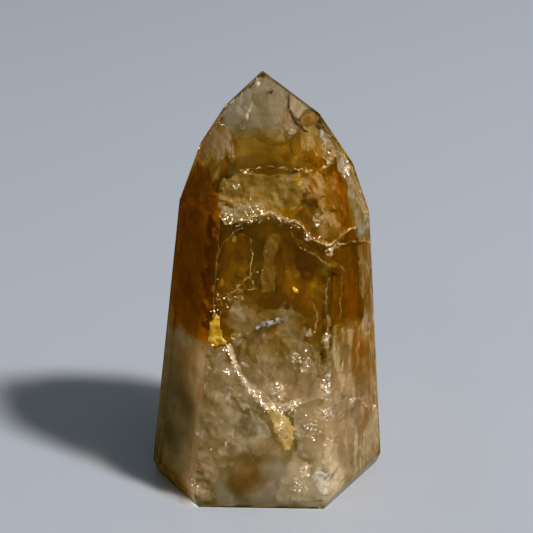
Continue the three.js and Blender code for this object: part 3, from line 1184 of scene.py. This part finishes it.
class QUARTZ_OT_fractures(bpy.types.Operator):
    """Makes the two large healed fractures and the bright lips of the cracks"""

    bl_idname = "quartz.fractures"
    bl_label = "Healed Fractures"

    def shelf(self):
        """The wavy fracture that runs right through the tower at three quarters of its height."""
        cream = veil_material("shelf_film", ((0.78, 0.70, 0.50), (0.66, 0.44, 0.14)), 0.0, 0.28, 700.0, 200.0,
                              0.54, 0.9, strength=0.9, even=0.08, solid=0.85)

        def place(s, t):
            across = s * 27.0
            deep = t * 24.0
            spot = Vector((across, deep, 0.0)) * MM
            lip = smooth_step(-13.0, -20.0, deep)
            height = along(SHELF_LINE, across) + 1.3 * rough(spot, 0.012, 3) * (1.0 - lip)
            height += 0.45 * rough(spot, 0.002, 4)
            if across + 1.5 * rough(spot, 0.004, 5) < -11.5 - 0.35 * deep - 4.0:
                return None, 0.0
            return Vector((across, deep, height)) * MM, smooth_step(19.0, 4.0, deep)

        put("shelf_fracture", sheet(place, (150, 130), 0.12), cream)

    def bowl(self):
        """The curved fracture in the lower half, open at its top."""
        frost = veil_material("bowl_film", ((0.86, 0.80, 0.68), (0.70, 0.58, 0.42)), 0.2, 0.28, 340.0, 150.0,
                              0.50, None, stretch=(1.0, 1.0, 0.20), strength=0.8, solid=0.6, even=0.18)
        middle = Vector((2.8, 42.0))

        def place(s, t):
            rim = on_line(BOWL_LINE, 0.5 + 0.5 * s)
            inward = 0.5 + 0.5 * t
            flat = rim.lerp(middle + Vector((s * 6.0, 3.0)), inward)
            spot = Vector((flat.x, flat.y, 0.0)) * MM
            depth = 1.0 + 9.0 * math.sin(inward * math.pi * 0.5) + rough(spot, 0.006, 8)
            return sealed(flat.x, flat.y, max(0.6, depth))[0], smooth_step(1.0, 0.7, inward)

        put("bowl_fracture", sheet(place, (120, 60)), frost, shades=False)

    def execute(self, context):
        self.shelf()
        self.bowl()
        chance = random.Random(29)
        pale = veil_material("lip_film", ((0.95, 0.89, 0.70), (0.42, 0.28, 0.10)), 0.4, 0.2, 1100.0, 620.0,
                             0.46, 0.9, strength=1.0, even=0.02)
        faint = veil_material("faint_lip_film", ((0.70, 0.62, 0.48), (0.50, 0.36, 0.16)), 0.2, 0.25, 900.0,
                              420.0, 0.56, 0.6, strength=1.0, solid=0.9)
        for name, rows, material, seed in (
            ("crack_lips", LIPS, pale, 20), ("faint_lips", FAINT_LIPS, faint, 60),
        ):
            lips = [ribbon(line, width, depth, seed + n) for n, (line, width, depth) in enumerate(rows)]
            for n, side in enumerate(OTHER_SIDES):
                for line in SIDE_LINES[:2] if rows is LIPS else SIDE_LINES[2:]:
                    lips.append(ribbon(shifted(line, chance), 0.24, 1.2, seed + 40 + n, side=side))
            put(name, joined(lips), material, shades=False)
        return {"FINISHED"}


class QUARTZ_OT_zones(bpy.types.Operator):
    """Makes the broad veils and stains, each a thin film in its own colour and grain, and the dark films of
    painted shade at the left shoulder and along the left front edge
    """

    bl_idname = "quartz.zones"
    bl_label = "Coloured Zones"

    def execute(self, context):
        seed = ZONE_SEED
        for kind, rows in ZONES.items():
            bodies = []
            for outline, depth, soft, dark, light, even in rows:
                body = zone(outline, depth, seed, soft, max(0.8, 0.5 * soft))
                bodies.append(painted(body, (dark, light), even))
                seed += SEED_STEP
            film = zone_material(kind, "zone", FILM_GLOW if kind == "misty" else 0.0)
            put(f"{kind}_zones", joined(bodies), film, shades=False)
        return {"FINISHED"}


class QUARTZ_OT_side_zones(bpy.types.Operator):
    """Makes the veils and stains of the other sides, which let some light through from behind"""

    bl_idname = "quartz.side_zones"
    bl_label = "Side Zones"

    def execute(self, context):
        seed = SIDE_ZONE_SEED
        chance = random.Random(7)
        for kind in ("soft", "upright", "frosty"):
            bodies = []
            for side in OTHER_SIDES:
                for of_kind, outline, depth, soft, dark, light, even in SIDE_ZONES:
                    if of_kind == kind:
                        moved = shifted(outline, chance)
                        body = zone(moved, depth, seed, soft + SIDE_SOFTER, SIDE_RAGGED, side, SIDE_CELL)
                        bodies.append(painted(body, (dark, light), even))
                        seed += SEED_STEP
            film = zone_material(kind, "side_zone", FILM_GLOW)
            put(f"{kind}_side_zones", joined(bodies), film, shades=False)
        return {"FINISHED"}


class QUARTZ_OT_films(bpy.types.Operator):
    """Makes the small films inside: the frosty spots, the rusty crack at the tip and a silvery one"""

    bl_idname = "quartz.films"
    bl_label = "Veils and Stained Films"

    def execute(self, context):
        frost = veil_material("frost_film", ((0.90, 0.86, 0.76), (0.62, 0.50, 0.30)), 0.4, 0.24, 900.0, 480.0,
                              0.50, 0.7, strength=1.0, solid=0.85)
        bodies = [patch(middle, half, depth, 100 + n) for n, (middle, half, depth) in enumerate(FROST)]
        put("frost_films", joined(bodies), frost, shades=False)
        rust = veil_material("rust_film", ((0.025, 0.005, 0.001), (0.055, 0.015, 0.003)), 0.0, 0.4, 500.0,
                             200.0, 0.8, None, strength=0.6, even=0.85)
        crack = ((5.0, 99.5), (4.8, 96.1), (6.0, 93.9), (7.4, 91.7), (9.2, 90.2))
        band = ((7.4, 91.7), (10.0, 92.0), (13.0, 92.5))
        left = ((-19.8, 76.0), (-20.2, 72.6), (-21.6, 71.6))
        bodies = [ribbon(crack, 0.2, 0.6, 300, 0.5, 0.12), ribbon(band, 0.24, 0.9, 301, 0.5, 0.2),
                  ribbon(left, 0.12, 0.6, 302, 0.5, 0.15)]
        put("rusty_crack", joined(bodies), rust)
        silver = veil_material("silver_film", ((0.74, 0.73, 0.70), (0.05, 0.05, 0.05)), 0.3, 0.2, 1500.0,
                               700.0, 0.85, 0.8, strength=1.0, even=0.55)
        dash = ((-2.9, 47.7), (0.6, 49.0), (4.0, 50.3))
        put("silver_crack", ribbon(dash, 0.9, 0.9, 310, 0.6, 0.3), silver)
        return {"FINISHED"}


class QUARTZ_OT_shards(bpy.types.Operator):
    """Scatters the small see-through planes of old cracks through the stone"""

    bl_idname = "quartz.shards"
    bl_label = "Crack Planes"

    def execute(self, context):
        chance = random.Random(17)
        pale = veil_material("pale_shard", ((0.92, 0.87, 0.76), (0.80, 0.68, 0.46)), 0.35, 0.22, 520.0, 240.0,
                             0.50, None, stretch=(1.0, 1.0, 0.5), strength=1.0, solid=0.7, even=0.12)
        golden = veil_material("golden_shard", ((0.86, 0.62, 0.16), (0.62, 0.36, 0.04)), 0.3, 0.24, 520.0,
                               240.0, 0.50, None, stretch=(1.0, 1.0, 0.5), strength=1.0, solid=0.6, even=0.12)
        for name, material, count, low, high in (
            ("pale_shards", pale, 150, 2.0, 46.0), ("golden_shards", golden, 90, 40.0, 84.0),
        ):
            places = []
            while len(places) < count:
                height = chance.uniform(low, high)
                across = chance.uniform(-25.0, 26.0)
                depth = 0.8 + 12.0 * chance.random() ** 1.5
                spot, _ = sealed(across, height, depth, CHIP_SEAL)
                if spot is None:
                    continue
                turn = Euler((chance.gauss(1.57, 0.5), chance.gauss(0.0, 0.4), chance.gauss(0.0, 0.8)))
                size = chance.uniform(0.5, 1.3) * (1.0 + 1.2 * chance.random() ** 3)
                shape = Matrix.Diagonal((size * MM, size * MM * chance.uniform(0.8, 2.6), 0.10 * MM, 1.0))
                places.append(Matrix.Translation(spot) @ turn.to_matrix().to_4x4() @ shape)
            body = flakes(places)
            fade = body.verts.layers.float.new("fade")
            for vert in body.verts:
                vert[fade] = 1.0
                vert.co = held_inside(vert.co, 0.15 * MM)
            put(name, body, material, smooth=False, shades=False)
        return {"FINISHED"}


class QUARTZ_OT_glints(bpy.types.Operator):
    """Scatters the small mirror-like flakes along the fractures"""

    bl_idname = "quartz.glints"
    bl_label = "Glints"

    def execute(self, context):
        looks = context.scene.quartz_looks
        chance = random.Random(41)
        mirror = flake_material("glint", (0.95, 0.90, 0.80), 0.9, 0.2)
        chips = []

        def chip(across, height, depth, size, side=0, spread=0.2):
            spot, way = sealed(across, height, depth, CHIP_SEAL, side)
            if spot is None:
                return
            facing = (KEY_WAY - way).normalized() + Vector(chance.gauss(0.0, spread) for _ in range(3))
            turn = facing.to_track_quat("Z", "Y").to_matrix().to_4x4()
            spin = Matrix.Rotation(chance.uniform(0.0, 6.283), 4, "Z")
            shape = Matrix.Diagonal((size * MM, size * MM * chance.uniform(0.12, 0.6), size * MM * 0.1, 1.0))
            chips.append(Matrix.Translation(spot) @ turn @ spin @ shape)

        for line, count, reach in (
            (SHELF_LINE[1:6], 0.10, 0.8), (SHELF_LINE[5:-1], 0.06, 0.5), (BOWL_LINE[:5], 0.13, 0.45),
            (BOWL_LINE[4:7], 0.05, 0.8),
            (((-10.9, 54.5), (-6.3, 57.5), (-2.9, 60.7), (-4.0, 57.0)), 0.02, 1.4),
            (((-11.1, 56.2), (-12.1, 53.0), (-11.9, 50.0)), 0.02, 0.3),
        ):
            for _ in range(int(looks.flakes * count)):
                middle = on_line(line, chance.random())
                chip(middle.x + chance.gauss(0, reach), middle.y + chance.gauss(0, reach),
                     0.7 + abs(chance.gauss(0, 0.8)), 0.14 + 0.46 * chance.random() ** 3)
        for line, count in ((BOWL_LINE[1:6], 0.025), (SHELF_LINE[1:5], 0.012), (SHELF_LINE[8:11], 0.006)):
            for _ in range(int(looks.flakes * count)):
                middle = on_line(line, chance.random())
                chip(middle.x + chance.gauss(0, 0.35), middle.y + chance.gauss(0, 0.35),
                     0.6 + abs(chance.gauss(0, 0.4)), chance.uniform(0.3, 0.75), spread=0.4)
        for middle, half, depth in FROST:
            for _ in range(int(looks.flakes * 0.011 * (0.5 + half[0] * half[1] / 2.0))):
                chip(middle[0] + chance.gauss(0, half[0] * 0.5), middle[1] + chance.gauss(0, half[1] * 0.5),
                     depth * chance.uniform(0.3, 0.8), 0.12 + 0.45 * chance.random() ** 3)
        for _ in range(int(looks.flakes * 0.2)):
            chip(chance.uniform(-22.0, 24.0), chance.uniform(3.0, 90.0), chance.uniform(0.8, 8.0),
                 chance.uniform(0.08, 0.24))
        for side in OTHER_SIDES:
            for line in SIDE_LINES:
                for _ in range(int(looks.flakes * 0.02)):
                    middle = on_line(line, chance.random())
                    chip(middle.x + chance.gauss(0, 2.0), middle.y + chance.gauss(0, 2.0),
                         0.7 + abs(chance.gauss(0, 1.2)), 0.12 + 0.40 * chance.random() ** 3, side)
        put("glints", flakes(chips), mirror, smooth=False)
        return {"FINISHED"}


class QUARTZ_PT_panel(bpy.types.Panel):
    """Lists the pieces of the quartz tower"""

    bl_idname = "QUARTZ_PT_panel"
    bl_label = "Golden Healer Quartz"
    bl_space_type = "VIEW_3D"
    bl_region_type = "UI"
    bl_category = "Quartz"

    def draw(self, context):
        looks = context.scene.quartz_looks
        column = self.layout.column()
        for operator in OPERATORS:
            column.operator(operator.bl_idname)
        for key in QuartzLooks.__annotations__:
            column.prop(looks, key)


OPERATORS = (QUARTZ_OT_stage, QUARTZ_OT_tower, QUARTZ_OT_clouds, QUARTZ_OT_fractures, QUARTZ_OT_zones,
             QUARTZ_OT_side_zones, QUARTZ_OT_films, QUARTZ_OT_shards, QUARTZ_OT_glints)
CLASSES = (QuartzLooks, *OPERATORS, QUARTZ_PT_panel)


def register():
    for made in CLASSES:
        bpy.utils.register_class(made)
    bpy.types.Scene.quartz_looks = PointerProperty(type=QuartzLooks)


def unregister():
    del bpy.types.Scene.quartz_looks
    for made in reversed(CLASSES):
        bpy.utils.unregister_class(made)


def main():
    register()
    bpy.ops.quartz.stage()
    bpy.ops.quartz.tower()
    bpy.ops.quartz.clouds()
    bpy.ops.quartz.fractures()
    bpy.ops.quartz.zones()
    bpy.ops.quartz.side_zones()
    bpy.ops.quartz.films()
    bpy.ops.quartz.shards()
    bpy.ops.quartz.glints()


if __name__ == "__main__":
    main()
